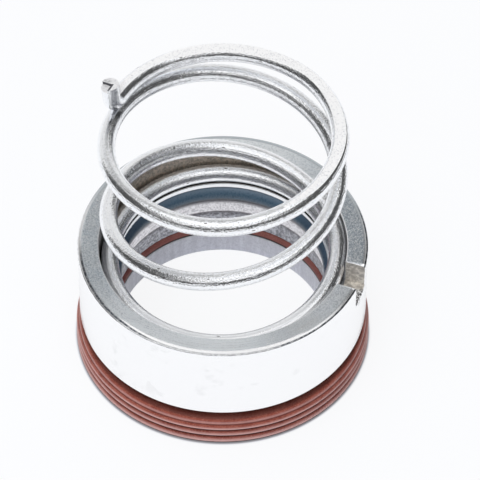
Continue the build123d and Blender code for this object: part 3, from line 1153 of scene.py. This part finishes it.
# painted highlight on the crown at the front, painted grey behind it, and one dark colour for the painted edge
# reflections and the chips
shade = layers(
    (0.985, 0.990, 1),
    (ease(blotches, 0.60, 0.72, 0, 0.5), (0.86, 0.865, 0.875)),
    (on_face, faced), (on_crown, grey(0.99)), (crown_shade_behind, (0.54, 0.58, 0.61)), (in_bore, bored),
    (in_well, painted_well_reflection), (in_slot, milled_shade), (burr, grey(0.97)),
    (either(edge_line, dark_edge_reflection, chipped), (0.07, 0.08, 0.10)),
)
rough = layers(
    grey(0.10), (on_face, grey(0.36)), (in_bore, grey(0.30)), (in_well, grey(0.42)), (in_slot, grey(0.48)),
    (ease(grain, 0.3, 0.7, 0, 0.25), grey(0.55)),
)
dulled = either(product(either(burr, on_crown), 0.6), product(in_slot, 0.7))
around_axis = add_node("Tangent")
around_axis.direction_type, around_axis.axis = "RADIAL", "Z"
tooled = either(on_top, in_well, in_slot, in_bore)
dress(
    retainer, steel, shade, rough, (product(rings, tooled), 0.02), (product(grain, tooled), 0.014),
    Metallic=outside(dulled), Tangent=around_axis.outputs["Tangent"],
)

# %% [markdown]
# ### Slate-blue rubber
# The O-ring is smooth and a little greasy, with a painted highlight along its upper side, a few hair
# scratches, and dust where it meets the steel. It is painted darker at both sides, and under its middle,
# as painted shade where it turns away from the light.

# %% O-ring finish
slate, tree = new_finish("blue_rubber", IOR=1.5)
point, radius, high = own_place()
grain = cloud(point, 3, 3, 0.65)
scratches = cloud(drawn_out(point, (0.25, 3, 0.6), (0.3, 0.2, 0.9)), 1, 3, 0.7)
sideways = calc("ABSOLUTE", split(point)["X"])
dusty = product(ease(high, LIP_TOP + 0.15, LIP_TOP + 0.75, 1, 0), ease(grain, 0.42, 0.6))
shade = layers(
    (0.060, 0.115, 0.170),
    (ease(grain, 0.35, 0.7), (0.095, 0.160, 0.225)),
    (ease(scratches, 0.66, 0.74, 0, 0.55), (0.30, 0.38, 0.44)),
    # painted highlight along the top; painted shade under the middle and at both sides
    (ease(high, CORD_Z + 0.65, CORD_Z + 1.75, 0, 0.7), (0.13, 0.185, 0.25)),
    (band(high, CORD_Z - 1.45, CORD_Z - 0.55, 0.3), (0.030, 0.055, 0.085)),
    (ease(sideways, 11, 18, 0, 0.6), (0.020, 0.040, 0.075)),
    (dusty, (0.30, 0.28, 0.28)),
)
dress(shaft_o_ring, slate, shade, ease(grain, 0.3, 0.7, 0.26, 0.42), (grain, 0.012), (scratches, 0.01))

# %% [markdown]
# ### Bright washer
# A stamped washer, tumbled bright, with faint rings from the press. At the back its top is painted
# black under the spring, a painted shadow where the wire lies on it.

# %% Washer finish
bright, tree = new_finish("bright_steel", Metallic=1)
point, radius, high = own_place()
rings = cloud(lathe_place(point, radius, high, 20, 4), 1, 3, 0.6)
grain = cloud(point, 4, 2, 0.6)
# painted shadow on the top under the spring, at the back
spring_shadow = product(
    ease(high, WASHER_TOP - 0.20, WASHER_TOP - 0.09),
    ease(radius, WASHER_BORE_R + 0.05, WASHER_BORE_R + 0.15),
    toward(bearing(point), 110, 75.5, 87.1),
)
shade = layers((0.90, 0.92, 0.95), (ease(rings, 0.35, 0.7), (0.97, 0.98, 1)), (spring_shadow, (0.06, 0.055, 0.05)))
dress(thrust_washer, bright, shade, ease(grain, 0.3, 0.7, 0.16, 0.30), (rings, 0.008), (grain, 0.006))

# %% [markdown]
# ### Drawn wire
# Spring wire is drawn through a die, so its marks run along it. The pattern is read at the numbers kept
# on the wire: a long way along, a short way round. A finer grain over it breaks the dark lines up into
# specks, and a few pits are left from the coating before drawing.

# %% Places on the wire
def wire_number(name):
    """One of the numbers that are kept on the wire's points."""
    node = add_node("Attribute")
    node.attribute_name = name
    return node.outputs["Fac"]


def wire_place(lengthways, round_it):
    """Where the pattern is on the wire: cells per mm along it, and cells per mm across it."""
    return add_node(
        "CombineXYZ", X=calc("MULTIPLY", wire_number("along"), lengthways),
        Y=calc("MULTIPLY", wire_number("rise"), round_it * WIRE_R),
        Z=calc("MULTIPLY", wire_number("reach"), round_it * WIRE_R),
    ).outputs["Vector"]


# %% [markdown]
# Two places on the wire are painted dark: a spot on the inner side of the first open turn, where it
# passes under the tang's bend, as painted shade, and the flank of the tang, as a painted dark
# reflection. The lowest turn is duller and paler at the front than the rest, so it is less of a mirror
# there, and its bumps are weaker.

# %% Drawn wire finish: marks
BEND_SHADE_FROM, BEND_SHADE_TO = 137, 138.8

drawn, tree = new_finish("drawn_wire", Metallic=1)
streaks = cloud(wire_place(0.22, 2.6), 1, 4, 0.7)
grain = cloud(wire_place(2.6, 3.4), 1, 1, 0.5)
own_parts = split(own_place()[0])
# painted shade on the first open turn, under the tang's bend
bend_shade = product(
    band(wire_number("along"), BEND_SHADE_FROM, BEND_SHADE_TO, 0.5),
    band(wire_number("reach"), -0.75, 0.1, 0.2),
)
# painted dark reflection on the tang's flank
tang_flank = product(
    band(calc("SUBTRACT", own_parts["X"], TANG_TIP.x / MM), 0.30, 1.35, 0.2),
    ease(wire_number("along"), -2.2, -1.2, 1, 0),
)
painted_wire_shade = product(either(bend_shade, tang_flank), ease(grain, 0.3, 0.6, 0.75, 0.55))
low_front = product(
    ease(own_parts["Y"], -17, -12, 1, 0),
    ease(wire_number("centre_z"), STILL_BELOW - 0.5, STILL_BELOW + 2, 1, 0),
)
print("rubbed:", round(BEND_SHADE_TO - BEND_SHADE_FROM, 1), "mm of wire")

# %% Drawn wire finish: colour and shine
pit_cells = add_node("TexVoronoi", Vector=wire_place(0.22, 0.75), Scale=1, Randomness=1)
pits = ease(pit_cells.outputs["Distance"], 0.05, 0.09, 1, 0)
patches = cloud(wire_place(0.11, 0.5), 1, 2, 0.5)
draw_lines = cloud(wire_place(0.03, 3.2), 1, 1, 0.5)
shade = layers(
    (0.90, 0.915, 0.945),
    (ease(streaks, 0.36, 0.62), (0.975, 0.985, 1)),
    (ease(grain, 0.60, 0.72, 0, 0.30), grey(0.55)),
    (pits, (0.06, 0.055, 0.05)), (painted_wire_shade, (0.16, 0.17, 0.20)),
)
scuffed = calc("ADD", ease(streaks, 0.52, 0.66, 0, 0.10), ease(grain, 0.58, 0.66, 0, 0.14))
rough = calc("ADD", ease(patches, 0.35, 0.65, 0.04, 0.10), scuffed)
marked = outside(product(low_front, 0.8))
dress(
    spring, drawn, shade, rough,
    (product(streaks, marked), 0.045), (product(grain, marked), 0.060), (pits, -0.05),
    (product(draw_lines, marked), 0.05), Metallic=outside(product(low_front, 0.6)),
)

# %% [markdown]
# The ground flats scatter light like fine sandpaper marks, so they look almost white.

# %% Ground flats
ground, tree = new_finish("ground_wire", Metallic=0.2)
point = own_place()[0]
grain = cloud(point, 3.6, 3, 0.75)
marks = cloud(drawn_out(point, (0.5, 4, 1), (0, 0, 0.5)), 1, 3, 0.6)
shade = layers(
    (0.99, 0.99, 0.995),
    (ease(grain, 0.52, 0.66, 0, 0.75), (0.52, 0.53, 0.57)),
    (ease(marks, 0.62, 0.75, 0, 0.35), (0.62, 0.63, 0.65)),
)
dress(spring, ground, shade, ease(grain, 0.3, 0.7, 0.42, 0.6), (grain, 0.012), (marks, 0.01))

# %% [markdown]
# The sheared end of the tang is bright, torn metal. Its broken corner's walls and the corner's lip are
# painted dark, as painted shade, and it is darker in broken patches behind the corner.

# %% Sheared end
torn, tree = new_finish("sheared_wire", Metallic=0.5)
point = own_place()[0]
grain = cloud(point, 2.6, 4, 0.75)
below_tip = calc("ADD", wire_number("along"), BEND_LENGTH + STRAIGHT)
past_step = calc(
    "SUBTRACT", vector_calc("DOT_PRODUCT", point, outward), TANG_TIP.dot(outward) / MM + STEP_OUT,
)
behind_step = calc(
    "SUBTRACT", vector_calc("DOT_PRODUCT", point, heading), TANG_TIP.dot(heading) / MM + STEP_BACK,
)
lip = product(band(past_step, -0.34, 0.02, 0.03), ease(behind_step, 0, 0.15, 1, 0))
rag = product(
    band(behind_step, 0.05, 0.85, 0.1), ease(past_step, 0.2, 0.6),
    ease(grain, 0.46, 0.60, 0, 0.6),
)
# painted shade on the broken corner's walls and along its lip, and darker patches behind it
torn_dark = either(band(below_tip, 0.06, STEP_DEPTH - 0.04, 0.04), lip, rag)
shade = layers(
    (0.80, 0.80, 0.82), (ease(grain, 0.40, 0.58), (0.98, 0.98, 0.99)), (torn_dark, (0.10, 0.10, 0.11)),
)
dress(spring, torn, shade, ease(grain, 0.3, 0.7, 0.40, 0.6), (grain, 0.03))
